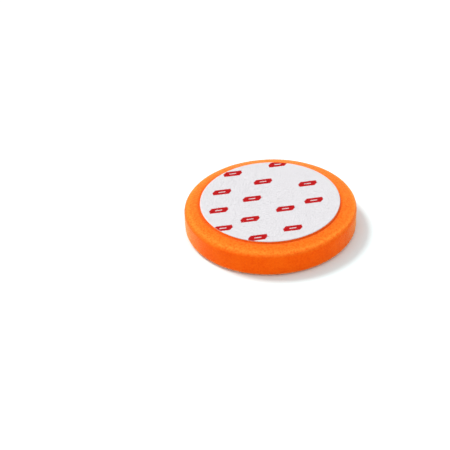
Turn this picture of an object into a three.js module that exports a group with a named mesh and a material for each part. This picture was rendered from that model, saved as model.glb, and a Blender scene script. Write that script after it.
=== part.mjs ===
// A round foam polishing pad for a rotary or orbital polisher, lying on its working face.
//
// The pad is four layers, bonded one on another along one axis:
//
//   loop_pile      brushed loops that the hooks of a backing plate grip
//   base_cloth     the knitted ground that holds the loops
//   bond_film      hot-melt film that bonds the cloth to the foam
//   foam_disc      open-cell foam slab with a rounded working edge and a bevelled back
//
// Units are millimetres and +Z is up. The origin is the centre of the flat working face, and the
// pad's axis is +Z. Each layer is a solid of revolution, so one outline in the half plane
// (radius, height) describes it.

import * as THREE from "three";

// Driving dimensions of the foam.
const FOAM_RADIUS = 75; // a 150 mm pad
const FOAM_THICKNESS = 26; // the slab that the disc is cut from
const WORKING_EDGE_RADIUS = 4.5; // round between the working face and the wall
const BACK_EDGE_RADIUS = 4; // round between the wall and the bevel
const BACK_EDGE_CENTRE_HEIGHT = 18.6; // where that round's centre lies, which sets the bevel's slope

// Driving dimensions of the backing.
const BACKING_RADIUS = 61; // the loop disc, a little under a 125 mm backing plate
const LAND_MARGIN = 0.4; // flat foam left round the loop disc before the bevel starts
const FILM_INSET = 0.2; // how far the bond film stays inside the cloth's cut edge
const FILM_THICKNESS = 0.15;
const CLOTH_THICKNESS = 0.25;
const PILE_THICKNESS = 0.6;
const PILE_EDGE_RADIUS = 0.3; // the pile lies over a little at its cut edge

// How finely the round stretches are cut into flat faces.
const TURN_STEPS = 96;
const EDGE_STEPS = 7;
const PILE_EDGE_STEPS = 3;

const FOAM_FINISH = { color: 0xff6d10, roughness: 0.95, metalness: 0 };
const FILM_FINISH = { color: 0xe6d9c4, roughness: 0.45, metalness: 0 };
const CLOTH_FINISH = { color: 0xdedce0, roughness: 0.9, metalness: 0 };
const PILE_FINISH = { color: 0xf1eff2, roughness: 1, metalness: 0 };

/** Points of an arc in the (radius, height) half plane, both ends included. */
function arc(centreRadius, centreHeight, radius, fromAngle, toAngle, steps) {
  return Array.from({ length: steps + 1 }, (_, step) => {
    const angle = fromAngle + ((toAngle - fromAngle) * step) / steps;
    return new THREE.Vector2(
      centreRadius + radius * Math.cos(angle),
      centreHeight + radius * Math.sin(angle),
    );
  });
}

/**
 * The direction, as an angle above the outward radius, of the line that leaves a point and touches
 * the top of a circle. The line to the circle's centre is turned up by the angle whose sine is
 * radius over distance.
 */
function tangentAngle(from, centre, radius) {
  const towardsCentre = new THREE.Vector2().subVectors(centre, from);
  return Math.atan2(towardsCentre.y, towardsCentre.x) + Math.asin(radius / towardsCentre.length());
}

/** A closed solid from an outline that runs outwards along its base and back in over its top. */
function turned(outline) {
  const solid = new THREE.LatheGeometry(outline, TURN_STEPS);
  solid.rotateX(Math.PI / 2); // the lathe turns about Y, and the pad's axis is Z
  return solid;
}

/** A named layer of the pad with its own finish. */
function layer(name, geometry, finish, height = 0) {
  const mesh = new THREE.Mesh(geometry, new THREE.MeshStandardMaterial(finish));
  mesh.name = name;
  mesh.position.z = height;
  return mesh;
}

/** The foam: flat working face, rounded edge, upright wall, rounded back edge, bevel and flat land. */
function foamDisc() {
  const landEdge = new THREE.Vector2(BACKING_RADIUS + LAND_MARGIN, FOAM_THICKNESS);
  const backRoundCentre = new THREE.Vector2(FOAM_RADIUS - BACK_EDGE_RADIUS, BACK_EDGE_CENTRE_HEIGHT);
  const bevelAngle = tangentAngle(landEdge, backRoundCentre, BACK_EDGE_RADIUS);
  const workingRound = arc(
    FOAM_RADIUS - WORKING_EDGE_RADIUS,
    WORKING_EDGE_RADIUS,
    WORKING_EDGE_RADIUS,
    -Math.PI / 2,
    0,
    EDGE_STEPS,
  );
  const backRound = arc(
    backRoundCentre.x,
    backRoundCentre.y,
    BACK_EDGE_RADIUS,
    0,
    bevelAngle + Math.PI / 2,
    EDGE_STEPS,
  );
  return turned([
    new THREE.Vector2(0, 0),
    ...workingRound,
    ...backRound,
    landEdge,
    new THREE.Vector2(0, FOAM_THICKNESS),
  ]);
}

/** A flat disc of even thickness. */
function flatDisc(radius, thickness) {
  return turned([
    new THREE.Vector2(0, 0),
    new THREE.Vector2(radius, 0),
    new THREE.Vector2(radius, thickness),
    new THREE.Vector2(0, thickness),
  ]);
}

/** The pile: a disc whose upper cut edge is rounded over. */
function pileDisc() {
  const edge = arc(
    BACKING_RADIUS - PILE_EDGE_RADIUS,
    PILE_THICKNESS - PILE_EDGE_RADIUS,
    PILE_EDGE_RADIUS,
    0,
    Math.PI / 2,
    PILE_EDGE_STEPS,
  );
  return turned([
    new THREE.Vector2(0, 0),
    new THREE.Vector2(BACKING_RADIUS, 0),
    ...edge,
    new THREE.Vector2(0, PILE_THICKNESS),
  ]);
}

const filmHeight = FOAM_THICKNESS;
const clothHeight = filmHeight + FILM_THICKNESS;
const pileHeight = clothHeight + CLOTH_THICKNESS;

const polishingPad = new THREE.Group();
polishingPad.name = "polishing_pad";
polishingPad.add(
  layer("foam_disc", foamDisc(), FOAM_FINISH),
  layer("bond_film", flatDisc(BACKING_RADIUS - FILM_INSET, FILM_THICKNESS), FILM_FINISH, filmHeight),
  layer("base_cloth", flatDisc(BACKING_RADIUS, CLOTH_THICKNESS), CLOTH_FINISH, clothHeight),
  layer("loop_pile", pileDisc(), PILE_FINISH, pileHeight),
);

export default polishingPad;
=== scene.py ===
"""The looks of a round foam polishing pad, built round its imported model.

The pad lies on its flat working face. From the floor up it is a disc of open-cell foam, a hot-melt
bond film, a knitted ground cloth and a brushed loop pile that carries small printed marks.
"""

import logging
import math
from dataclasses import dataclass
from enum import Enum
from typing import Any, Callable

import bpy
import numpy as np
from mathutils import Matrix, Vector


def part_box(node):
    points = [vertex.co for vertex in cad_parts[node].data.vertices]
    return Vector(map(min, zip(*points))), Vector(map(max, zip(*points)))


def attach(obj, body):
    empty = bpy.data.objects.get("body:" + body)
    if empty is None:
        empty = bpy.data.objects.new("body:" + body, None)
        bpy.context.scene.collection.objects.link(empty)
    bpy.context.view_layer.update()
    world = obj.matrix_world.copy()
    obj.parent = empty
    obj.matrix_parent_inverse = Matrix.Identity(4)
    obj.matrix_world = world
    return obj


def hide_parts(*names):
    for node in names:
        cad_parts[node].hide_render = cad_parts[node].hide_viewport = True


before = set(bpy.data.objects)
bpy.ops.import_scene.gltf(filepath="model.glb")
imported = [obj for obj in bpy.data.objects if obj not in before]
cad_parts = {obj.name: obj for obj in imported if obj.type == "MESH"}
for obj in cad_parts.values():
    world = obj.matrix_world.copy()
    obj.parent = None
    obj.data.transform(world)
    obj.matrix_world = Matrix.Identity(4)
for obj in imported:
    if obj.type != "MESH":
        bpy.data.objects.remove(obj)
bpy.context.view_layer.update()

log = logging.getLogger("polishing_pad")

MM = 0.001
SLACK = 0.01 * MM  # What is nearer than this touches.
INSET = 2 * MM  # How far inside a thin layer's edge its flat faces start.
RIM = 1 * MM  # How wide the part is that counts as a layer's rim.
MIDDLE = 0.5  # The mean of a noise and of an even draw.
QUARTER_TURN = math.pi / 2
FULL_TURN = 2 * math.pi

# Odd numbers and shifts that scatter the bits of a whole number of 32 bits.
AXIS_PRIMES = (73856093, 19349663, 83492791)
SEED_PRIME = 2654435761
SEED_STEP = 7
MIXERS = ((15, 2246822519), (13, 3266489917))
LAST_SHIFT = 16
WORD = 2**32

Colour = tuple[float, float, float]
Pair = tuple[float, float]


class Slot(Enum):
    """The record's material slots, one for each layer of the pad."""

    FOAM = "foam"
    FILM = "bond_film"
    CLOTH = "base_cloth"
    PILE = "loop_pile"


# --- Numbers: smooth steps, noise and bubbles ---


def eased(share: np.ndarray) -> np.ndarray:
    """A share from 0 to 1 with soft ends: three of its square less two of its cube."""
    held = np.clip(share, 0.0, 1.0)
    return held * held * (3 - 2 * held)


@dataclass(frozen=True)
class SoftWaves:
    """Slow unevenness: the mean of many plane waves with random directions and starts.

    Attributes:
        wavelength: The shortest wave, in metres.
        seed: What the random draws start from.
        waves: How many waves are added.
        longest: The longest wave, as a multiple of the shortest.
    """

    wavelength: float
    seed: int
    waves: int = 40
    longest: float = 3.0

    def at(self, places: np.ndarray) -> np.ndarray:
        """Heights at some places, about -1 to 1.

        The height is half the sum of cos(wave . place + start), over the square root of half
        the number of waves, so that its spread is a half.

        Args:
            places: Rows of x, y, z in metres.

        Returns:
            One height for each place.
        """
        draw = np.random.default_rng(self.seed)
        directions = draw.normal(size=(self.waves, 3))
        directions /= np.linalg.norm(directions, axis=1, keepdims=True)
        lengths = self.wavelength * draw.uniform(1, self.longest, self.waves)
        waves = directions * (FULL_TURN / lengths)[:, None]
        starts = draw.uniform(0, FULL_TURN, self.waves)
        total = np.cos(places @ waves.T + starts).sum(axis=1)
        return total / math.sqrt(self.waves / 2) / 2


@dataclass(frozen=True)
class Bubbles:
    """Bubble centres, one at a random place in each cube of a grid, as the cells of a foam lie.

    Attributes:
        pitch: The side of one cube, in metres.
        seed: What sets one field apart from another.
        jitter: How far a centre may stray inside its cube, as a share of the cube.
    """

    pitch: float
    seed: int
    jitter: float = 0.9

    def _drawn(self, cubes: np.ndarray, turn: int) -> np.ndarray:
        """One number from 0 to 1 for each cube, from mixing the bits of its three whole numbers.

        Args:
            cubes: Rows of three whole numbers.
            turn: 0 to 2 for where the centre strays along each axis, and 3 for the bubble's own.

        Returns:
            The numbers.
        """
        start = SEED_PRIME * (self.seed + SEED_STEP * turn) % WORD
        mixed = np.full(len(cubes), start, np.uint32)
        for axis, prime in enumerate(AXIS_PRIMES):
            mixed = mixed ^ (cubes[:, axis].astype(np.uint32) * np.uint32(prime))
        for shift, prime in MIXERS:
            mixed = (mixed ^ (mixed >> np.uint32(shift))) * np.uint32(prime)
        mixed = mixed ^ (mixed >> np.uint32(LAST_SHIFT))
        return mixed.astype(float) / WORD

    def nearest(self, places: np.ndarray) -> tuple[np.ndarray, np.ndarray]:
        """The nearest bubble centre.

        Each place looks in its own cube and the 26 round it.

        Args:
            places: Rows of x, y, z in metres.

        Returns:
            The distance to the nearest centre, in cubes, and a number from 0 to 1 that belongs
            to that bubble.
        """
        scaled = places / self.pitch
        home = np.floor(scaled).astype(np.int64)
        first = np.full(len(places), np.inf)
        own = np.zeros(len(places))
        for step in np.ndindex(3, 3, 3):
            cube = home + np.array(step) - 1
            strays = np.stack([self._drawn(cube, turn) for turn in range(3)], axis=1)
            centre = cube + 0.5 + (strays - 0.5) * self.jitter
            away = np.linalg.norm(scaled - centre, axis=1)
            closer = away < first
            first = np.where(closer, away, first)
            own = np.where(closer, self._drawn(cube, 3), own)
        return first, own


# --- Surfaces: outlines, closed skins and tubes ---


def arc(centre: Pair, radius: float, start: float, stop: float, steps: int = 24) -> np.ndarray:
    """Points of an arc in the half plane (radius, height).

    A point is the centre plus the radius times the cosine and the sine of its angle.

    Args:
        centre: The arc's centre.
        radius: Its radius.
        start: Its first angle, in radians above the outward radius.
        stop: Its last angle.
        steps: How many stretches it is cut into.

    Returns:
        Rows of radius and height.
    """
    angles = np.linspace(start, stop, steps + 1)
    return np.array(centre) + radius * np.stack([np.cos(angles), np.sin(angles)], axis=1)


def even(outline: np.ndarray, pitch: float) -> np.ndarray:
    """The same outline with its points the same distance apart along it.

    Args:
        outline: Rows of radius and height.
        pitch: The longest distance between two points.

    Returns:
        Rows of radius and height, with the same two ends.
    """
    along = np.concatenate([[0], np.cumsum(np.linalg.norm(np.diff(outline, axis=0), axis=1))])
    stops = np.linspace(0, along[-1], math.ceil(along[-1] / pitch) + 1)
    return np.stack([np.interp(stops, along, outline[:, axis]) for axis in range(2)], axis=1)


@dataclass
class Skin:
    """A closed surface before it becomes a piece.

    Attributes:
        places: Rows of x, y, z in metres.
        normals: The way out at each place.
        faces: Arrays of vertex numbers, one for each number of corners.
    """

    places: np.ndarray
    normals: np.ndarray
    faces: list[np.ndarray]

    @property
    def radii(self) -> np.ndarray:
        """How far each place is from the pad's axis."""
        return np.hypot(self.places[:, 0], self.places[:, 1])

    def raised(self, heights: np.ndarray) -> "Skin":
        """The same skin with each place moved outwards by its own height."""
        return Skin(self.places + self.normals * heights[:, None], self.normals, self.faces)


def disc_grid(steps: int) -> tuple[np.ndarray, np.ndarray, np.ndarray]:
    """A square grid bent into a disc of radius 1, so that its cells are even and it has no pole.

    Each square ring becomes a circle: half the ring's side is the circle's radius, and the way
    round the ring is shared out evenly round the circle.

    Args:
        steps: The cells along one side of the square.

    Returns:
        Rows of x and y, the cells as rows of four vertex numbers that run anticlockwise, and the
        numbers of the rim's points, anticlockwise from 45 degrees below the x axis.
    """
    side = np.linspace(-1, 1, steps + 1)
    across, up = np.meshgrid(side, side)
    wide = np.abs(across) > np.abs(up)
    radius = np.where(wide, across, up)
    share = np.where(wide, up, across) / np.where(radius == 0, 1, radius)
    eighth = math.pi / 4
    angle = np.where(wide, share * eighth, 2 * eighth - share * eighth)
    places = np.stack([radius * np.cos(angle), radius * np.sin(angle)], axis=-1).reshape(-1, 2)
    number = np.arange((steps + 1) ** 2).reshape(steps + 1, steps + 1)
    cells = np.stack([number[:-1, :-1], number[:-1, 1:], number[1:, 1:], number[1:, :-1]], axis=-1)
    rim = [number[:-1, -1], number[-1, :0:-1], number[:0:-1, 0], number[0, :-1]]
    return places, cells.reshape(-1, 4), np.concatenate(rim)


def turned(outline: np.ndarray, columns: int, gridded: bool) -> Skin:
    """A closed skin from an outline turned about the pad's axis.

    The outline runs from the rim of one flat face, round the edge, to the rim of the other. A
    point (radius, height) of it becomes (radius cos angle, radius sin angle, height) at each of
    the columns' angles. The first face is an even grid or a fan, and the last is a fan.

    Args:
        outline: Rows of radius and height.
        columns: The points in one circle, a multiple of 4.
        gridded: Whether the first face is a grid.

    Returns:
        The skin, with its faces pointing out.
    """
    upward = 1.0 if outline[-1, 1] > outline[0, 1] else -1.0
    angles = FULL_TURN * (np.arange(columns) / columns - 1 / 8)
    circle = np.stack([np.cos(angles), np.sin(angles)], axis=1)
    slopes = np.gradient(outline, axis=0)
    slopes /= np.linalg.norm(slopes, axis=1, keepdims=True)

    def rows(of: np.ndarray) -> np.ndarray:
        """Turns each row round to every column.

        Args:
            of: Rows of outward and up.

        Returns:
            Rows of x, y, z: outward times the cosine and the sine of a column's angle, and up.
        """
        flat = of[:, None, :1] * circle[None]
        up = np.broadcast_to(of[:, None, 1:], (len(of), columns, 1))
        return np.concatenate([flat, up], axis=2).reshape(-1, 3)

    ways_out = np.stack([slopes[:, 1], -slopes[:, 0]], axis=1) * upward
    if gridded:
        flat, opening, rim = disc_grid(columns // 4)
        face = np.column_stack([flat * outline[0, 0], np.full(len(flat), outline[0, 1])])
        turned_rows, turned_normals = rows(outline[1:]), rows(ways_out[1:])
    else:
        face = np.array([[0.0, 0.0, outline[0, 1]]])
        turned_rows, turned_normals = rows(outline), rows(ways_out)
    ring = len(face) + np.arange(len(turned_rows)).reshape(-1, columns)
    if gridded:
        ring = np.vstack([rim, ring])
    else:
        opening = np.column_stack([np.zeros(columns, int), ring[0], np.roll(ring[0], -1)])
    beside = np.roll(ring, -1, axis=1)
    wall = np.stack([ring[:-1], beside[:-1], beside[1:], ring[1:]], axis=-1).reshape(-1, 4)
    last = len(face) + len(turned_rows)
    closing = np.column_stack([ring[-1], beside[-1], np.full(columns, last)])
    places = np.vstack([face, turned_rows, [[0.0, 0.0, outline[-1, 1]]]])
    face_normals = np.tile([[0.0, 0.0, -upward]], (len(face), 1))
    normals = np.vstack([face_normals, turned_normals, [[0.0, 0.0, upward]]])
    faces = [opening[:, ::-1], wall, closing]
    if upward < 0:
        faces = [part[:, ::-1] for part in faces]
    return Skin(places, normals, faces)


def tubes(paths: np.ndarray, across: np.ndarray, radii: np.ndarray, sides: int = 3) -> Skin:
    """Many short closed tubes, each carried along its own path.

    A ring of a tube is its path's point plus the radius times the cosine of an angle across it
    and the sine of that angle along a third direction, square to both the path and across.

    Args:
        paths: Points of every path, as (tube, step, xyz).
        across: For each tube, a direction that its path is never along.
        radii: For each tube, its radius at each step.
        sides: The sides of a tube.

    Returns:
        One skin that holds every tube.
    """
    count, steps = paths.shape[:2]
    along = np.gradient(paths, axis=1)
    along /= np.linalg.norm(along, axis=2, keepdims=True)
    third = np.cross(along, across[:, None, :])
    third /= np.linalg.norm(third, axis=2, keepdims=True)
    second = np.cross(third, along)
    angles = FULL_TURN * np.arange(sides) / sides
    cosines, sines = np.cos(angles)[:, None], np.sin(angles)[:, None]
    outward = cosines * second[:, :, None, :] + sines * third[:, :, None, :]
    places = paths[:, :, None, :] + outward * radii[:, :, None, None]
    number = np.arange(count * steps * sides).reshape(count, steps, sides)
    beside = np.roll(number, -1, axis=2)
    walls = [number[:, :-1], number[:, 1:], beside[:, 1:], beside[:, :-1]]
    ends = [number[:, 0].reshape(-1, sides), number[:, -1, ::-1].reshape(-1, sides)]
    faces = [np.stack(walls, axis=-1).reshape(-1, 4), *ends]
    return Skin(places.reshape(-1, 3), outward.reshape(-1, 3), faces)


def linked(name: str, data: bpy.types.ID) -> bpy.types.Object:
    """Makes an object of some data and links it to the scene, at the origin.

    Args:
        name: The object's name.
        data: A mesh, a camera or a light.

    Returns:
        The object.
    """
    made = bpy.data.objects.new(name, data)
    bpy.context.scene.collection.objects.link(made)
    return made


def as_piece(name: str, skin: Skin) -> bpy.types.Object:
    """Makes a skin into a smooth-shaded object at the origin, by whole-array calls.

    Args:
        name: The piece's name.
        skin: Its surface.

    Returns:
        The object.
    """
    mesh = bpy.data.meshes.new(name)
    corners = np.concatenate([part.ravel() for part in skin.faces])
    sizes = np.concatenate([np.full(len(part), part.shape[1]) for part in skin.faces])
    starts = np.cumsum(sizes) - sizes
    mesh.vertices.add(len(skin.places))
    mesh.vertices.foreach_set("co", skin.places.astype(np.float32).ravel())
    mesh.loops.add(len(corners))
    mesh.loops.foreach_set("vertex_index", corners.astype(np.int32))
    mesh.polygons.add(len(sizes))
    mesh.polygons.foreach_set("loop_start", starts.astype(np.int32))
    mesh.update(calc_edges=True)
    mesh.shade_smooth()
    return linked(name, mesh)


def write_share(piece: bpy.types.Object, name: str, values: np.ndarray) -> None:
    """Stores one number for each vertex, which a finish reads by that name.

    Args:
        piece: The piece.
        name: The attribute's name.
        values: One number for each vertex.
    """
    attribute = piece.data.attributes.new(name, "FLOAT", "POINT")
    attribute.data.foreach_set("value", values.astype(np.float32))


# --- Shader maths ---


def arithmetic(operation: str, swapped: bool = False) -> Callable[["Shade", Any], "Shade"]:
    """Makes a method of a Shade that adds one Math node.

    Args:
        operation: The node's operation.
        swapped: Whether the Shade is the node's second number.

    Returns:
        The method.
    """

    def method(shade: "Shade", other: Any) -> "Shade":
        """The result of the node."""
        pair = (other, shade) if swapped else (shade, other)
        return shade.math(operation, *pair)

    return method


class Shade:
    """One output of a shader node, whose arithmetic adds Math nodes to its tree."""

    __add__ = arithmetic("ADD")
    __radd__ = arithmetic("ADD", swapped=True)
    __sub__ = arithmetic("SUBTRACT")
    __rsub__ = arithmetic("SUBTRACT", swapped=True)
    __mul__ = arithmetic("MULTIPLY")
    __truediv__ = arithmetic("DIVIDE")

    def __init__(self, tree: "ShaderTree", socket: bpy.types.NodeSocket) -> None:
        """Keeps the tree and the socket."""
        self.tree = tree
        self.socket = socket

    def math(self, operation: str, first: Any, second: Any) -> "Shade":
        """The result of one Math node."""
        node = self.tree.node("ShaderNodeMath", {"operation": operation}, {0: first, 1: second})
        return Shade(self.tree, node.outputs[0])

    def held(self, low: float = 0.0, high: float = 1.0) -> "Shade":
        """The same number, kept between two values."""
        return self.math("MINIMUM", self.math("MAXIMUM", self, low), high)


class ShaderTree:
    """A material's node tree, with a method for each kind of pattern that the finishes use."""

    BAND = 0.314

    def __init__(self, name: str) -> None:
        """Starts an empty material.

        Args:
            name: The material's name.
        """
        self.material = bpy.data.materials.new(name)
        self.material.use_nodes = True
        self.tree = self.material.node_tree
        self.tree.nodes.clear()
        coordinates = self.node("ShaderNodeTexCoord")
        self.place = Shade(self, coordinates.outputs["Object"])

    def node(
        self,
        kind: str,
        settings: dict[str, Any] | None = None,
        sockets: dict[str | int, Any] | None = None,
    ) -> bpy.types.ShaderNode:
        """Adds a node of any type.

        Args:
            kind: The node's type.
            settings: The node's own settings, which are set first.
            sockets: For an input's name or number, a Shade to link or a value to hold.

        Returns:
            The node.
        """
        made = self.tree.nodes.new(kind)
        for key, value in (settings or {}).items():
            setattr(made, key, value)
        for key, value in (sockets or {}).items():
            if isinstance(value, Shade):
                self.tree.links.new(value.socket, made.inputs[key])
            else:
                made.inputs[key].default_value = value
        return made

    def attribute(self, name: str) -> Shade:
        """A number that the piece holds for each vertex."""
        made = self.node("ShaderNodeAttribute", {"attribute_name": name})
        return Shade(self, made.outputs["Fac"])

    def noise(self, size: float, detail: float = 2.0, stretch: Colour = (1.0, 1.0, 1.0)) -> Shade:
        """Soft noise round 0.5.

        Args:
            size: The size of its patches, in metres.
            detail: How many finer layers are added.
            stretch: How much longer its patches are along x, y and z.

        Returns:
            The noise.
        """
        scale = tuple(1 / (size * longer) for longer in stretch)
        placed = self.node("ShaderNodeMapping", {}, {"Vector": self.place, "Scale": scale})
        sockets = {"Vector": Shade(self, placed.outputs[0]), "Scale": 1.0, "Detail": detail}
        return Shade(self, self.node("ShaderNodeTexNoise", {}, sockets).outputs["Fac"])

    def cells(self, size: float) -> Shade:
        """The distance to the nearest of many scattered points, from 0 to about 1."""
        sockets = {"Vector": self.place, "Scale": 1 / size}
        return Shade(self, self.node("ShaderNodeTexVoronoi", {}, sockets).outputs["Distance"])

    def waves(self, size: float, along: str, bend: float = 0.0) -> Shade:
        """Even bands across one direction, which are BAND metres wide at a scale of 1.

        Args:
            size: The width of a band, in metres.
            along: The direction that crosses the bands, "X" or "Y".
            bend: How much noise bends them.

        Returns:
            The height of the bands, from 0 to 1.
        """
        sockets = {"Vector": self.place, "Scale": self.BAND / size, "Distortion": bend}
        node = self.node("ShaderNodeTexWave", {"bands_direction": along}, sockets)
        return Shade(self, node.outputs["Fac"])

    def mix(self, share: Shade | float, first: Shade | Colour, second: Shade | Colour) -> Shade:
        """A colour between two others.

        Args:
            share: How much of the second colour there is, from 0 to 1.
            first: The first colour.
            second: The second colour.

        Returns:
            The mixed colour.
        """
        made = self.node("ShaderNodeMix", {"data_type": "RGBA", "clamp_factor": True})
        sides = {"Factor_Float": share, "A_Color": first, "B_Color": second}
        for identifier, value in sides.items():
            socket = next(s for s in made.inputs if s.identifier == identifier)
            if isinstance(value, Shade):
                self.tree.links.new(value.socket, socket)
            else:
                socket.default_value = (*value, 1.0) if isinstance(value, tuple) else value
        return Shade(self, next(s for s in made.outputs if s.identifier == "Result_Color"))


# --- Finishes ---


@dataclass(frozen=True)
class Finish:
    """What every finish holds.

    Attributes:
        roughness: The roughness where the pattern is 0, and how much it adds where it is 1.
        relief: How deep the relief is, in metres, and how much of its lean is kept.
        shine: The shader's specular level.
        sheen: How much light its fibres catch.
    """

    roughness: Pair
    relief: Pair
    shine: float = 0.5
    sheen: float = 0.0

    def material(self) -> bpy.types.Material:
        """Builds the finish's material."""
        raise NotImplementedError

    def ended(
        self, tree: ShaderTree, colour: Shade, rough: Shade, height: Shade, **more: Any
    ) -> bpy.types.Material:
        """Ends a tree in one Principled shader.

        Args:
            tree: The tree.
            colour: The surface's colour.
            rough: The pattern that its roughness follows, from 0 to 1.
            height: Its relief, from 0 to 1.
            more: The shader's other sockets, with _ for a space, and what they hold all over.

        Returns:
            The material.
        """
        least, added = self.roughness
        depth, strength = self.relief
        bump = {"Height": height, "Distance": depth, "Strength": strength}
        sockets = {
            "Base Color": colour,
            "Roughness": (least + rough * added).held(),
            "Normal": Shade(tree, tree.node("ShaderNodeBump", {}, bump).outputs["Normal"]),
            "Specular IOR Level": self.shine,
            "Sheen Weight": self.sheen,
            **{name.replace("_", " "): value for name, value in more.items()},
        }
        shader = tree.node("ShaderNodeBsdfPrincipled", {}, sockets)
        output = tree.node("ShaderNodeOutputMaterial")
        tree.tree.links.new(shader.outputs[0], output.inputs["Surface"])
        return tree.material


@dataclass(frozen=True)
class FoamFinish(Finish):
    """Cut open-cell foam: thin orange struts that glow a little, over pores darkened by painted
    shade.
    """

    strut: Colour = (0.96, 0.116, 0.0014)
    pore: Colour = (0.85, 0.066, 0.0004)
    pale: Colour = (0.97, 0.130, 0.0026)
    # Painted light: a paler orange for level faces, and a painted highlight along the back edge's
    # crest.
    painted_highlight: Colour = (0.98, 0.250, 0.026)
    # Painted shade: a darker orange for the groove and the dish beside the backing.
    groove_shade: Colour = (0.64, 0.034, 0.002)
    fuzz: Colour = (1.0, 0.92, 0.42)
    cell: float = 0.45 * MM
    grain: float = 1.8 * MM
    patch: float = 16 * MM
    pore_sinks: float = 0.55
    cell_sinks: float = 0.2
    grain_sinks: float = 1.6
    all_sinks: float = 0.1
    patch_start: float = 0.42
    patch_gain: float = 2.2
    patch_most: float = 0.6
    light_gain: float = 1.10
    light_loss: float = 1.15
    cell_relief: float = 0.7
    roughness: Pair = (0.86, 0.1)
    relief: Pair = (0.16 * MM, 0.8)
    shine: float = 0.04
    sheen: float = 1.0
    sheen_roughness: float = 0.3

    def material(self) -> bpy.types.Material:
        """Builds the material: fine cells between the cut pores, and slow patches of paler foam.

        Returns:
            The material.
        """
        tree = ShaderTree("open_cell_foam")
        cells = tree.cells(self.cell)
        grain = tree.noise(self.grain, detail=3.0)
        patches = (tree.noise(self.patch) - self.patch_start) * self.patch_gain
        # Painted shade fills the pores with a darker orange; the cells and the grain add tone that
        # differs at random.
        uneven = (1 - cells) * self.cell_sinks + (grain - MIDDLE) * self.grain_sinks
        sunk = (tree.attribute("pore") * self.pore_sinks + uneven + self.all_sinks).held()
        body = tree.mix(sunk, self.strut, self.pore)
        cut = tree.mix(patches.held(high=self.patch_most), body, self.pale)
        # Painted light: level faces are paler than the wall and the crest has a painted highlight,
        # less so in the pores.
        light_share = tree.attribute("painted_light") * (self.light_gain - sunk * self.light_loss)
        painted_light = tree.mix(light_share, cut, self.painted_highlight)
        # Painted shade: the foam darkens in the groove and the dish beside the backing.
        painted_shade = tree.mix(tree.attribute("painted_shade"), painted_light, self.groove_shade)
        height = cells * self.cell_relief + grain * (1 - self.cell_relief)
        glow = {"Sheen_Roughness": self.sheen_roughness, "Sheen_Tint": (*self.fuzz, 1.0)}
        return self.ended(tree, painted_shade, cells, height, **glow)


@dataclass(frozen=True)
class FilmFinish(Finish):
    """Hot-melt film: a milky satin bead that the foam's orange shows through."""

    milky: Colour = (0.86, 0.56, 0.34)
    thick: Colour = (0.88, 0.72, 0.56)
    cloud: float = 2.5 * MM
    cloud_start: float = 0.4
    cloud_gain: float = 3.0
    roughness: Pair = (0.55, -0.2)
    relief: Pair = (0.08 * MM, 0.6)
    shine: float = 0.4

    def material(self) -> bpy.types.Material:
        """Builds the material: clouds of thicker glue, glossier where it pooled.

        Returns:
            The material.
        """
        tree = ShaderTree("hot_melt_film")
        clouds = tree.noise(self.cloud, detail=3.0)
        pool = ((clouds - self.cloud_start) * self.cloud_gain).held()
        return self.ended(tree, tree.mix(pool, self.milky, self.thick), pool, clouds)


@dataclass(frozen=True)
class ClothFinish(Finish):
    """Knitted ground: fine ribs one way, with the stitch courses across them."""

    yarn: Colour = (0.82, 0.79, 0.78)
    gap: Colour = (0.70, 0.62, 0.57)
    wale: float = 0.9 * MM
    wale_bend: float = 0.4
    course: float = 0.6 * MM
    course_bend: float = 0.6
    lint: float = 0.5 * MM
    lint_share: float = 0.4
    stitch_gain: float = 1.4
    roughness: Pair = (0.9, -0.15)
    relief: Pair = (0.15 * MM, 0.8)
    sheen: float = 0.2

    def material(self) -> bpy.types.Material:
        """Builds the material: two sets of bands that cross, with dark gaps between stitches.

        Returns:
            The material.
        """
        tree = ShaderTree("knitted_ground")
        wales = tree.waves(self.wale, "X", self.wale_bend)
        stitches = wales * tree.waves(self.course, "Y", self.course_bend)
        lint = tree.noise(self.lint, detail=3.0) * self.lint_share
        knit = tree.mix((stitches * self.stitch_gain + lint).held(), self.gap, self.yarn)
        return self.ended(tree, knit, stitches, stitches + lint)


@dataclass(frozen=True)
class PileFinish(Finish):
    """Brushed nylon loops: a soft cool white with lint, and red ink where a mark is printed."""

    nylon: Colour = (0.690, 0.680, 0.700)
    shade: Colour = (0.630, 0.618, 0.635)
    ink: Colour = (0.45, 0.004, 0.006)
    worn_ink: Colour = (0.50, 0.014, 0.016)
    ink_edge: float = 0.35 * MM
    ink_bleed: float = 1.6
    lint: float = 0.7 * MM
    lint_stretch: Colour = (2.2, 1.0, 1.0)
    lint_dulls: float = 0.7
    cloud: float = 9 * MM
    cloud_dulls: float = 0.6
    kept_clear: float = 0.3
    fibre: float = 0.28 * MM
    fibre_stretch: Colour = (4.0, 1.0, 1.0)
    wear_gain: float = 1.6
    wear_start: float = 0.55
    height_share: float = 0.6
    roughness: Pair = (0.82, 0.2)
    relief: Pair = (0.18 * MM, 0.7)
    shine: float = 0.1

    def material(self) -> bpy.types.Material:
        """Builds the nap's material, which reads how far each point is from a printed mark.

        Returns:
            The material.
        """
        tree = ShaderTree("brushed_nap")
        lint = tree.noise(self.lint, detail=3.0, stretch=self.lint_stretch)
        cloud = tree.noise(self.cloud)
        fibres = tree.noise(self.fibre, stretch=self.fibre_stretch)
        dull = (lint * self.lint_dulls + cloud * self.cloud_dulls - self.kept_clear).held()
        bleed = (lint - MIDDLE) * self.ink_bleed
        inked = (MIDDLE - (tree.attribute("mark_distance") / self.ink_edge + bleed)).held()
        wear = (lint * self.wear_gain - self.wear_start).held()
        white = tree.mix(dull, self.nylon, self.shade)
        printed = tree.mix(inked, white, tree.mix(wear, self.ink, self.worn_ink))
        height = (fibres + lint) * self.height_share
        return self.ended(tree, printed, lint, height)


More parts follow.
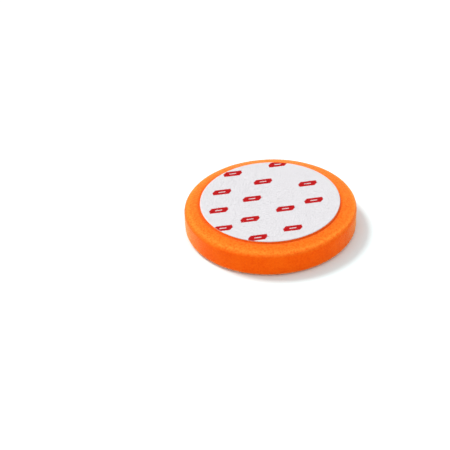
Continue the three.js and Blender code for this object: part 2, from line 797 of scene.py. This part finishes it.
@dataclass(frozen=True, kw_only=True)
class YarnFinish(Finish):
    """Loose nylon filament, clean or soaked with ink."""

    name: str
    clear: Colour
    dull: Colour
    drift: float = 3.0 * MM
    drift_start: float = 0.35
    drift_gain: float = 2.0
    ply: float = 0.2 * MM
    roughness: Pair = (0.55, 0.2)
    relief: Pair = (0.03 * MM, 0.4)
    shine: float = 0.15

    def material(self) -> bpy.types.Material:
        """Builds the material: a slow change of shade from loop to loop.

        Returns:
            The material.
        """
        tree = ShaderTree(self.name)
        drift = (tree.noise(self.drift) - self.drift_start) * self.drift_gain
        ply = tree.noise(self.ply, detail=1.0)
        return self.ended(tree, tree.mix(drift.held(), self.clear, self.dull), ply, ply)


# --- The pad's layers ---


@dataclass(frozen=True)
class Layer:
    """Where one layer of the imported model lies, from its box.

    Attributes:
        node: The layer's node.
        radius: Half its width.
        bottom: Its lowest height.
        top: Its highest height.
    """

    node: str
    radius: float
    bottom: float
    top: float

    @classmethod
    def of(cls, node: str) -> "Layer":
        """Reads a node's box."""
        low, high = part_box(node)
        return cls(node, (high.x - low.x) / 2, low.z, high.z)

    def disc(self, edge: np.ndarray, columns: int) -> Skin:
        """A thin disc, whose flat faces are fans from rings a little inside its edge.

        Args:
            edge: The edge's outline, from below up, as rows of radius and height.
            columns: The points in one circle.

        Returns:
            The skin.
        """
        inside = self.radius - INSET
        outline = np.vstack([[inside, self.bottom], edge, [inside, self.top]])
        return turned(outline, columns, gridded=False)

    def rim(self, skin: Skin) -> np.ndarray:
        """Whether each place of a skin is at this layer's rim."""
        return skin.radii > self.radius - RIM

    def dress(self, piece: bpy.types.Object, finish: Finish, slot: Slot) -> bpy.types.Object:
        """Gives a piece its finish and puts it in this layer's place on the pad.

        Args:
            piece: The new piece.
            finish: A finish, whose material it gets.
            slot: The record's slot for it; not used.

        Returns:
            The piece.
        """
        piece.data.materials.append(finish.material())
        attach(piece, "root")
        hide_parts(self.node)
        log.info("%s: %d faces", piece.name, len(piece.data.polygons))
        return piece


@dataclass(frozen=True)
class Stretch:
    """A stretch round the pad, in radians anticlockwise from +X.

    Attributes:
        middle: Where its middle is.
        spread: How far it goes to each side.
    """

    middle: float
    spread: float

    def share(self, places: np.ndarray) -> np.ndarray:
        """How much each place is in the stretch.

        The share is 1 at the middle and eases to 0 at the two ends, by the cosine of the angle
        between them.

        Args:
            places: Rows of x, y, z in metres.

        Returns:
            A share from 0 to 1 for each place.
        """
        away = np.arctan2(places[:, 1], places[:, 0]) - self.middle
        end = math.cos(self.spread)
        return eased((np.cos(away) - end) / (1 - end))


@dataclass
class FoamDisc:
    """The foam slab: a flat working face, a rounded edge, a wall and a bevelled back, all cut.

    Attributes:
        backing: The layer whose rim the bevel starts from.
        working_edge, back_edge: The rounds below and above the wall.
        back_edge_height: Where the back round's centre lies.
        land: The flat foam left round the backing.
        pore_reach, pore_floor: How wide a cut cell is and how much of it is flat, in bubbles.
        shallowest: The shallowest pore, as a share of the deepest.
        wander, sag: The cut's unevenness, and how deep it goes.
        swell: How far the skin is set out, so that the struts' mean lies on the true shape.
        pinch, pinch_place, pinch_reach: The groove beside the backing: its depth, place and reach.
        step_reach: How far outside the backing the foam has come down from it.
        dish, dish_reach: How much lower the bevel is there, and how far out that goes.
        loose, loose_share: Where the foam is hardly drawn in, and how much of both is missing.
        crest_inset, crest_reach: How far inside the wall the painted highlight is, and its reach.
        fuller, crest_drift: Where the back edge was cut fuller, and how far the crest moves out.
        bulge, bulge_foot, bulge_rise: How far it stands out there, from which height and radius,
            and how far up and out it takes to do so.
        pinch_shade, dish_shade: How much painted shade darkens the groove and the dish.
        light_share, crest_highlight: Painted light that pales a level face, and more on the crest.
        level_lean: How much a face leans up or down, at least, to get all its painted light.
    """

    layer: Layer
    backing: Layer
    finish: FoamFinish = FoamFinish()
    working_edge: float = 4.5 * MM
    back_edge: float = 4 * MM
    back_edge_height: float = 18.6 * MM
    land: float = 0.4 * MM
    columns: int = 1500
    pores: Bubbles = Bubbles(0.95 * MM, seed=11)
    pore_reach: float = 0.62
    pore_floor: float = 0.25
    shallowest: float = 0.35
    pore_depth: float = 0.24 * MM
    wander: SoftWaves = SoftWaves(14 * MM, seed=5)
    sag: float = 0.16 * MM
    swell: float = 0.17 * MM
    pinch: float = 0.75 * MM
    pinch_place: float = 1.3 * MM
    pinch_reach: float = 1.0 * MM
    step_reach: float = 0.7 * MM
    dish: float = 0.5 * MM
    dish_reach: float = 4.2 * MM
    loose: Stretch = Stretch(math.radians(60), math.radians(80))
    loose_share: float = 0.85
    crest_inset: float = 3.3 * MM
    crest_reach: float = 1.7 * MM
    fuller: Stretch = Stretch(math.radians(12), math.radians(58))
    crest_drift: float = 2.0 * MM
    bulge: float = 0.4 * MM
    bulge_foot: Pair = (9 * MM, 63 * MM)
    bulge_rise: float = 9 * MM
    pinch_shade: float = 0.2
    dish_shade: float = 0.3
    light_share: float = 0.62
    crest_highlight: float = 0.45
    level_lean: float = 0.95

    def outline(self) -> np.ndarray:
        """The skin's outline: a quarter round, the wall, the back round, the bevel and the land.

        The bevel is the line from the land's rim that touches the back round: the line to the
        round's centre, turned up by the angle whose sine is the round's radius over its length.

        Returns:
            Rows of radius and height.
        """
        radius, height = self.layer.radius, self.layer.top
        rim = self.backing.radius + self.land
        centre = (radius - self.back_edge, self.back_edge_height)
        run, drop = centre[0] - rim, centre[1] - height
        bevel = math.atan2(drop, run) + math.asin(self.back_edge / math.hypot(run, drop))
        face_radius = radius - self.working_edge
        working = arc((face_radius, self.working_edge), self.working_edge, -QUARTER_TURN, 0)
        back = arc(centre, self.back_edge, 0, bevel + QUARTER_TURN)
        under_cloth = [[rim, height], [self.backing.radius - RIM, height]]
        pitch = FULL_TURN * radius / self.columns
        return even(np.vstack([working, back, under_cloth]), pitch)

    def build(self) -> bpy.types.Object:
        """Builds the slab.

        The skin is drawn in by a sum of depths: the pores, deepest at each bubble's centre and
        nothing at the struts between; a slow wander of the cut; and a groove and a dish beside
        the backing. Along one stretch the back edge bulges out instead. Nothing moves under the
        cloth, where the foam is bonded.

        Returns:
            The piece.
        """
        skin = turned(self.outline(), self.columns, gridded=True)
        heights = skin.places[:, 2]
        on_top = heights > self.back_edge_height
        out = np.maximum(skin.radii - self.backing.radius, 0)
        away, own = self.pores.nearest(skin.places)
        pore = eased(1 + self.pore_floor - away / self.pore_reach)
        pore *= self.shallowest + (1 - self.shallowest) * own
        standing = eased(heights / self.working_edge)
        wander = np.clip((1 + self.wander.at(skin.places)) / 2 * standing, 0, 1)
        drawn = on_top * (1 - self.loose_share * self.loose.share(skin.places))
        groove = np.exp(-(((out - self.pinch_place) / self.pinch_reach) ** 2)) * drawn
        dish = np.exp(-((out / self.dish_reach) ** 2)) * drawn
        foot, inner = self.bulge_foot
        upper = eased((heights - foot) / self.bulge_rise)
        upper *= eased((skin.radii - inner) / self.bulge_rise)
        fuller = self.fuller.share(skin.places)
        depth = pore * self.pore_depth + wander * self.sag - self.swell * standing
        depth += (groove * self.pinch + dish * self.dish) * eased(out / self.step_reach)
        depth -= fuller * upper * self.bulge
        bonded = on_top & (out < SLACK)
        piece = as_piece("foam_body", skin.raised(-np.where(bonded, 0.0, depth)))
        # Painted light: level faces get a share of paler colour, and the back edge's crest gets a
        # painted highlight.
        inset = self.crest_inset - fuller * self.crest_drift
        from_crest = (skin.radii - self.layer.radius + inset) / self.crest_reach
        crest = self.light_share + self.crest_highlight * np.exp(-(from_crest**2)) * on_top
        write_share(piece, "pore", pore)
        # Painted shade for the groove and the dish beside the backing.
        write_share(piece, "painted_shade", self.pinch_shade * groove + self.dish_shade * dish)
        write_share(piece, "painted_light", eased(np.abs(skin.normals[:, 2]) / self.level_lean) * crest)
        self.layer.dress(piece, self.finish, Slot.FOAM)
        return piece


@dataclass
class BondFilm:
    """The hot-melt film: a thin sheet whose edge wanders where the glue was squeezed out."""

    layer: Layer
    finish: FilmFinish = FilmFinish()
    columns: int = 720
    beads: SoftWaves = SoftWaves(1.2 * MM, seed=21)
    squeeze: float = 0.10 * MM

    def build(self) -> bpy.types.Object:
        """Builds the film: a turned disc with a round edge.

        A point of the edge moves outwards by the squeeze times the noise at its place.

        Returns:
            The piece.
        """
        half = (self.layer.top - self.layer.bottom) / 2
        middle = (self.layer.radius - half, self.layer.bottom + half)
        edge = arc(middle, half, -QUARTER_TURN, QUARTER_TURN, steps=6)
        skin = self.layer.disc(edge, self.columns)
        pushed = np.where(self.layer.rim(skin), self.beads.at(skin.places) * self.squeeze, 0)
        sideways = skin.places * [1, 1, 0] / np.maximum(skin.radii, half)[:, None]
        skin.places += sideways * pushed[:, None]
        return self.layer.dress(as_piece("glue_line", skin), self.finish, Slot.FILM)


@dataclass
class GroundCloth:
    """The knitted ground, with the cut ends of its yarns round the edge.

    Attributes:
        corner, rib: The round of the edge's corners, and how far a wale stands out of it.
        lengths, thickness: The least and the most of an end's length and radius.
        splay, lift: How far the ends turn to the side, in radians, and tip, as a slope.
        droop, taper: How far an end's tip hangs and how much thinner it is, as shares.
        root_depth: How far inside the edge an end starts.
        steps: The points along an end.
        foot, clearance: How far above the film the ends start, and keep.
    """

    layer: Layer
    finish: ClothFinish = ClothFinish()
    yarn: YarnFinish = YarnFinish(
        name="cut_yarn", clear=(0.70, 0.70, 0.71), dull=(0.60, 0.59, 0.60)
    )
    columns: int = 1440
    corner: float = 0.08 * MM
    rib: float = 0.05 * MM
    lint: SoftWaves = SoftWaves(0.8 * MM, seed=31)
    seed: int = 31
    cut_ends: int = 1000
    lengths: Pair = (0.25 * MM, 0.65 * MM)
    thickness: Pair = (0.03 * MM, 0.05 * MM)
    splay: float = 0.7
    lift: float = 0.35
    droop: float = 0.3
    taper: float = 0.5
    root_depth: float = 0.15 * MM
    steps: int = 4
    foot: float = 0.05 * MM
    clearance: float = 0.03 * MM

    def build(self) -> bpy.types.Object:
        """Builds the ground: a turned disc whose cut edge has a rib for each wale it crosses.

        The edge stands out by a rib times the sum of some noise and the cosine of x, which goes
        round once in a wale.

        Returns:
            The piece.
        """
        layer, corner = self.layer, self.corner
        inside = layer.radius - corner
        low = arc((inside, layer.bottom + corner), corner, -QUARTER_TURN, 0, steps=3)
        high = arc((inside, layer.top - corner), corner, 0, QUARTER_TURN, steps=3)
        skin = layer.disc(np.vstack([low, high]), self.columns)
        wales = np.cos(FULL_TURN * skin.places[:, 0] / self.finish.wale)
        ribs = (wales + self.lint.at(skin.places)) * self.rib
        skin = skin.raised(np.where(layer.rim(skin), ribs, 0.0))
        return layer.dress(as_piece("ground_cloth", skin), self.finish, Slot.CLOTH)

    def fray(self) -> bpy.types.Object:
        """Builds the cut yarn ends: short thin tubes that start inside the edge and droop.

        At a share of its length, an end is that far along its own direction from its root, and
        has dropped by the droop times the length and the share's square.

        Returns:
            The piece.
        """
        draw = np.random.default_rng(self.seed)
        count, layer = self.cut_ends, self.layer
        angles = draw.uniform(0, FULL_TURN, count)
        leans = angles + draw.normal(0, self.splay, count)
        lengths = draw.uniform(*self.lengths, count)
        start = layer.radius - self.root_depth
        heights = draw.uniform(layer.bottom + self.foot, layer.top, count)
        root = np.stack([start * np.cos(angles), start * np.sin(angles), heights], axis=1)
        tips = draw.normal(0, self.lift, count)
        way = np.stack([np.cos(leans), np.sin(leans), tips], axis=1)
        share = np.linspace(0, 1, self.steps)
        paths = root[:, None] + way[:, None] * (share[:, None] * lengths[:, None, None])
        paths[:, :, 2] -= self.droop * lengths[:, None] * share**2
        paths[:, :, 2] = np.maximum(paths[:, :, 2], layer.bottom + self.clearance)
        radii = np.outer(draw.uniform(*self.thickness, count), 1 - self.taper * share)
        skin = tubes(paths, np.tile([0.0, 0.0, 1.0], (count, 1)), radii)
        return layer.dress(as_piece("cut_yarn_ends", skin), self.yarn, Slot.CLOTH)


@dataclass(frozen=True)
class Marks:
    """Plain printed marks: leaning lozenges with a slot in the middle, scattered over the pile.

    Attributes:
        places: The marks' centres on the pad, in millimetres.
        turn: How far a mark's long side is turned from x, in radians.
        length: A mark's whole length.
        height: Its whole height.
        lean: How far its top is pushed along for each unit of height.
        point: How much of its length each pointed end takes, as a share of the height.
        slot: The slot's length and height.
    """

    # fmt: off
    places: tuple[Pair, ...] = (
        (9.8, 56.9), (-4.7, 30.0), (34.5, 23.5), (38.0, -3.0), (12.7, -13.6), (17.3, -43.1),
        (-31.0, 45.0), (-41.5, 16.5), (-15.5, 4.0), (-45.0, -11.5), (-18.5, -27.0),
        (-13.0, -54.5), (-42.0, -38.5),
    )
    # fmt: on
    turn: float = math.radians(7.3)
    length: float = 17 * MM
    height: float = 7.4 * MM
    lean: float = 0.35
    point: float = 0.45
    slot: Pair = (6 * MM, 1.0 * MM)

    def distance(self, spots: np.ndarray) -> np.ndarray:
        """How far each spot is outside the nearest mark's ink, less than 0 inside it.

        A lozenge is where three distances are all below 0: to its long sides, to its two pointed
        ends and, turned about, to its slot.

        Args:
            spots: Rows of x and y in metres.

        Returns:
            The distance for each spot, in metres.
        """
        nearest = np.full(len(spots), np.inf)
        cosine, sine = math.cos(self.turn), math.sin(self.turn)
        for centre in self.places:
            from_centre = spots - np.array(centre) * MM
            up = from_centre[:, 1] * cosine - from_centre[:, 0] * sine
            along = from_centre[:, 0] * cosine + from_centre[:, 1] * sine - self.lean * up
            sides = np.abs(up) - self.height / 2
            ends = np.abs(along) + self.point * np.abs(up) - self.length / 2
            ends /= math.hypot(1, self.point)
            slot = np.maximum(np.abs(along) - self.slot[0] / 2, np.abs(up) - self.slot[1] / 2)
            nearest = np.minimum(nearest, np.maximum(np.maximum(sides, ends), -slot))
        return nearest


@dataclass
class LoopPile:
    """The brushed pile: a matted nap with thousands of nylon loops standing out of it.

    Attributes:
        nap, edge: How high the nap stands, as a share of the layer, and the round of its rim.
        tuft, tuft_reach: How far a tuft stands out, and its radius in bubbles.
        drawn_out: How many waves along x count as one, in the combed ridges.
        ridge_share: How high a ridge is, as a share of a tuft.
        clearance: How far above the ground the nap's relief starts.
        pitch, scatter: The distance between loops, and how far one stands off its place.
        margin, overhang: How far inside the rim the loops stand, and are kept.
        segments: The stretches in one loop.
        sunk: How far below the nap's top a loop's feet are.
        turning, comb: The mean and the spread of the loops' directions and leans.
        widths, rises, thickness: The least and the most of a loop's width, height and radius.
        groups: How many pieces the clean loops are shared between.
    """

    layer: Layer
    marks: Marks = Marks()
    finish: PileFinish = PileFinish()
    clean: YarnFinish = YarnFinish(
        name="clean_loops", clear=(0.72, 0.71, 0.73), dull=(0.63, 0.62, 0.64)
    )
    inked: YarnFinish = YarnFinish(
        name="inked_loops", clear=(0.47, 0.005, 0.007), dull=(0.40, 0.003, 0.005)
    )
    columns: int = 1080
    nap: float = 0.62
    edge: float = 0.3 * MM
    tufts: Bubbles = Bubbles(1.0 * MM, seed=41)
    tuft_reach: float = 0.8
    tuft: float = 0.09 * MM
    ridges: SoftWaves = SoftWaves(0.9 * MM, seed=42)
    drawn_out: float = 0.35
    ridge_share: float = 0.6
    clearance: float = 0.05 * MM
    pitch: float = 0.9 * MM
    margin: float = 0.7 * MM
    scatter: float = 0.22 * MM
    segments: int = 6
    sunk: float = 0.12 * MM
    turning: Pair = (0.3, 0.9)
    widths: Pair = (0.45 * MM, 1.0 * MM)
    rises: Pair = (0.18 * MM, 0.32 * MM)
    comb: Pair = (0.25 * MM, 0.45 * MM)
    thickness: Pair = (0.035 * MM, 0.06 * MM)
    overhang: float = 0.05 * MM
    groups: int = 3
    seed: int = 43

    @property
    def crown(self) -> float:
        """The height of the nap's top."""
        return self.layer.bottom + self.nap * (self.layer.top - self.layer.bottom)

    def build_nap(self) -> bpy.types.Object:
        """Builds the nap: a turned disc whose top is raised into tufts and combed ridges.

        The relief is a round tuft at each bubble's centre, plus noise drawn out along x.

        Returns:
            The piece.
        """
        layer = self.layer
        centre = (layer.radius - self.edge, self.crown - self.edge)
        over = arc(centre, self.edge, QUARTER_TURN, 0, steps=6)
        foot = [[layer.radius, layer.bottom], [layer.radius - INSET, layer.bottom]]
        pitch = FULL_TURN * layer.radius / self.columns
        skin = turned(even(np.vstack([over, foot]), pitch), self.columns, gridded=True)
        away, own = self.tufts.nearest(skin.places)
        relief = eased(1 - away / self.tuft_reach) * (MIDDLE + own) - MIDDLE
        relief += self.ridge_share * self.ridges.at(skin.places * [self.drawn_out, 1, 1])
        free = skin.places[:, 2] > layer.bottom + self.clearance
        skin = skin.raised(np.where(free, relief * self.tuft, 0.0))
        piece = as_piece("pile_nap", skin)
        write_share(piece, "mark_distance", self.marks.distance(skin.places[:, :2]))
        return layer.dress(piece, self.finish, Slot.PILE)

    def roots(self, draw: np.random.Generator) -> np.ndarray:
        """Where the loops stand: staggered rows, each loop a little off its place.

        Args:
            draw: The random draws.

        Returns:
            Rows of x and y.
        """
        reach = self.layer.radius - self.margin
        row_step = self.pitch * math.sqrt(3) / 2
        count = math.ceil(2 * reach / row_step) + 2
        row, column = np.mgrid[0:count, 0:count].reshape(2, -1) - count / 2
        x = (column + (row % 2) / 2) * self.pitch
        spots = np.stack([x, row * row_step], axis=1)
        spots += draw.normal(0, self.scatter, (len(x), 2))
        return spots[np.hypot(spots[:, 0], spots[:, 1]) < reach]

    def build_loops(self) -> list[bpy.types.Object]:
        """Builds the loops and shares them out between clean pieces and one inked piece.

        A loop leaves the nap, rises and comes back: at a share t of half a turn it is half its
        width times -cos t along its own direction, its height times sin t up, and leans with
        its height along the comb.

        Returns:
            The pieces.
        """
        draw = np.random.default_rng(self.seed)
        spots = self.roots(draw)
        count, layer = len(spots), self.layer
        turns = np.linspace(0, math.pi, self.segments + 1)
        angles = draw.normal(*self.turning, count)
        widths = draw.uniform(*self.widths, count)
        rises = draw.uniform(*self.rises, count)
        leans = draw.normal(*self.comb, (count, 2))
        along = np.stack([np.cos(angles), np.sin(angles), np.zeros(count)], axis=1)
        sideways = np.stack([-np.sin(angles), np.cos(angles), np.zeros(count)], axis=1)
        paths = np.zeros((count, len(turns), 3))
        paths[:, :, :2] = spots[:, None] + leans[:, None] * np.sin(turns)[:, None]
        paths[:, :, 2] = self.crown - self.sunk + np.outer(rises, np.sin(turns))
        paths -= along[:, None] * np.outer(widths / 2, np.cos(turns))[:, :, None]
        reach = np.hypot(paths[:, :, 0], paths[:, :, 1])
        paths[:, :, :2] *= np.minimum(1, (layer.radius - self.overhang) / reach)[:, :, None]
        radii = np.outer(draw.uniform(*self.thickness, count), np.ones(len(turns)))
        printed = self.marks.distance(spots) < 0
        group = np.where(printed, self.groups, draw.integers(0, self.groups, count))
        kinds = [(f"pile_loops_{number + 1}", self.clean) for number in range(self.groups)]
        pieces = []
        for number, (name, finish) in enumerate([*kinds, ("inked_loops", self.inked)]):
            chosen = group == number
            skin = tubes(paths[chosen], sideways[chosen], radii[chosen])
            pieces.append(layer.dress(as_piece(name, skin), finish, Slot.PILE))
        return pieces


# --- The studio ---


@dataclass
class Studio:
    """A pale floor, soft light from the left and behind, and the camera.

    Attributes:
        lens, sensor: The camera's focal length and its sensor's width, in millimetres.
        elevation, roll: How far the camera looks down and is rolled, in degrees.
        distance: From the camera to the plane through the pad's centre.
        sight: How far the camera sees.
        aside: How far the view's middle is from the pad's centre, across and up the picture.
        key_azimuth, key_elevation: Where the key light hangs, in degrees from +X and up.
        key_spread: How wide it looks from the pad, in degrees.
        key_strength: Its strength, in watts on a square metre.
        glow: How bright the room is to everything but the camera.
    """

    lens: float = 128.0
    sensor: float = 36.0
    elevation: float = 35.219
    roll: float = -2.771
    distance: float = 1.4104
    sight: float = 50.0
    aside: Pair = (-40.21 * MM, 0.41 * MM)
    floor_size: float = 14.0
    floor_drop: float = 0.05 * MM
    paper: Colour = (0.80, 0.94, 0.95)
    paper_roughness: float = 0.9
    paper_shine: float = 0.1
    key_azimuth: float = 144.0
    key_elevation: float = 52.5
    key_spread: float = 19.0
    key_strength: float = 2.05
    glow: float = 0.88

    def camera(self) -> None:
        """Places the camera, which looks along +Y and down on the pad."""
        rise, roll = math.radians(self.elevation), math.radians(self.roll)
        ahead = Vector((0, math.cos(rise), -math.sin(rise)))
        right = Matrix.Rotation(roll, 3, -ahead) @ Vector((1, 0, 0))
        up = right.cross(ahead)
        spot = -ahead * self.distance + right * self.aside[0] + up * self.aside[1]
        data = bpy.data.cameras.new("studio_camera")
        data.lens = self.lens
        data.sensor_width = self.sensor
        data.clip_end = self.sight
        camera = linked("studio_camera", data)
        turned_axes = Matrix((right, up, -ahead)).transposed().to_4x4()
        camera.matrix_world = Matrix.Translation(spot) @ turned_axes
        bpy.context.scene.camera = camera

    def floor(self) -> None:
        """Lays the floor just under the pad."""
        half, low = self.floor_size / 2, -self.floor_drop
        corners = [(-half, -half, low), (half, -half, low), (half, half, low), (-half, half, low)]
        mesh = bpy.data.meshes.new("studio_floor")
        mesh.from_pydata(corners, [], [(0, 1, 2, 3)])
        material = bpy.data.materials.new("studio_paper")
        material.use_nodes = True
        sockets = material.node_tree.nodes["Principled BSDF"].inputs
        sockets["Base Color"].default_value = (*self.paper, 1.0)
        sockets["Roughness"].default_value = self.paper_roughness
        sockets["Specular IOR Level"].default_value = self.paper_shine
        mesh.materials.append(material)
        floor = linked("studio_floor", mesh)

    def key_light(self) -> None:
        """Lights the room from one side, as a wide soft box far away does."""
        azimuth, rise = math.radians(self.key_azimuth), math.radians(self.key_elevation)
        flat = math.cos(rise)
        toward = Vector((flat * math.cos(azimuth), flat * math.sin(azimuth), math.sin(rise)))
        data = bpy.data.lights.new("key_light", "SUN")
        data.energy = self.key_strength
        data.angle = math.radians(self.key_spread)
        lamp = linked("key_light", data)
        lamp.location = toward
        lamp.rotation_euler = toward.to_track_quat("Z", "Y").to_euler()

    def sky(self) -> None:
        """Fills the room with even light, and shows plain white behind the floor."""
        world = bpy.data.worlds.new("studio_room")
        world.use_nodes = True
        nodes, links = world.node_tree.nodes, world.node_tree.links
        background = nodes["Background"]
        background.inputs["Color"].default_value = (1.0, 1.0, 1.0, 1.0)
        seen = nodes.new("ShaderNodeLightPath")
        strength = nodes.new("ShaderNodeMapRange")
        strength.inputs["To Min"].default_value = self.glow
        strength.inputs["To Max"].default_value = 1.0
        links.new(seen.outputs["Is Camera Ray"], strength.inputs["Value"])
        links.new(strength.outputs["Result"], background.inputs["Strength"])
        bpy.context.scene.world = world

    def build(self) -> None:
        """Sets up the whole studio."""
        self.camera()
        self.floor()
        self.key_light()
        self.sky()
        bpy.context.scene.view_settings.view_transform = "Standard"
        log.info("studio: lens %.0f mm, from %.1f degrees up", self.lens, self.elevation)


def main() -> None:
    """Builds the studio and the pad's layers, from the floor up."""
    logging.basicConfig(level=logging.INFO, format="%(name)s: %(message)s")
    Studio().build()
    foam, film, cloth, pile = (
        Layer.of(node) for node in ("foam_disc", "bond_film", "base_cloth", "loop_pile")
    )
    FoamDisc(foam, backing=cloth).build()
    BondFilm(film).build()
    ground = GroundCloth(cloth)
    ground.build()
    ground.fray()
    brushed = LoopPile(pile)
    brushed.build_nap()
    brushed.build_loops()


if __name__ == "__main__":
    main()
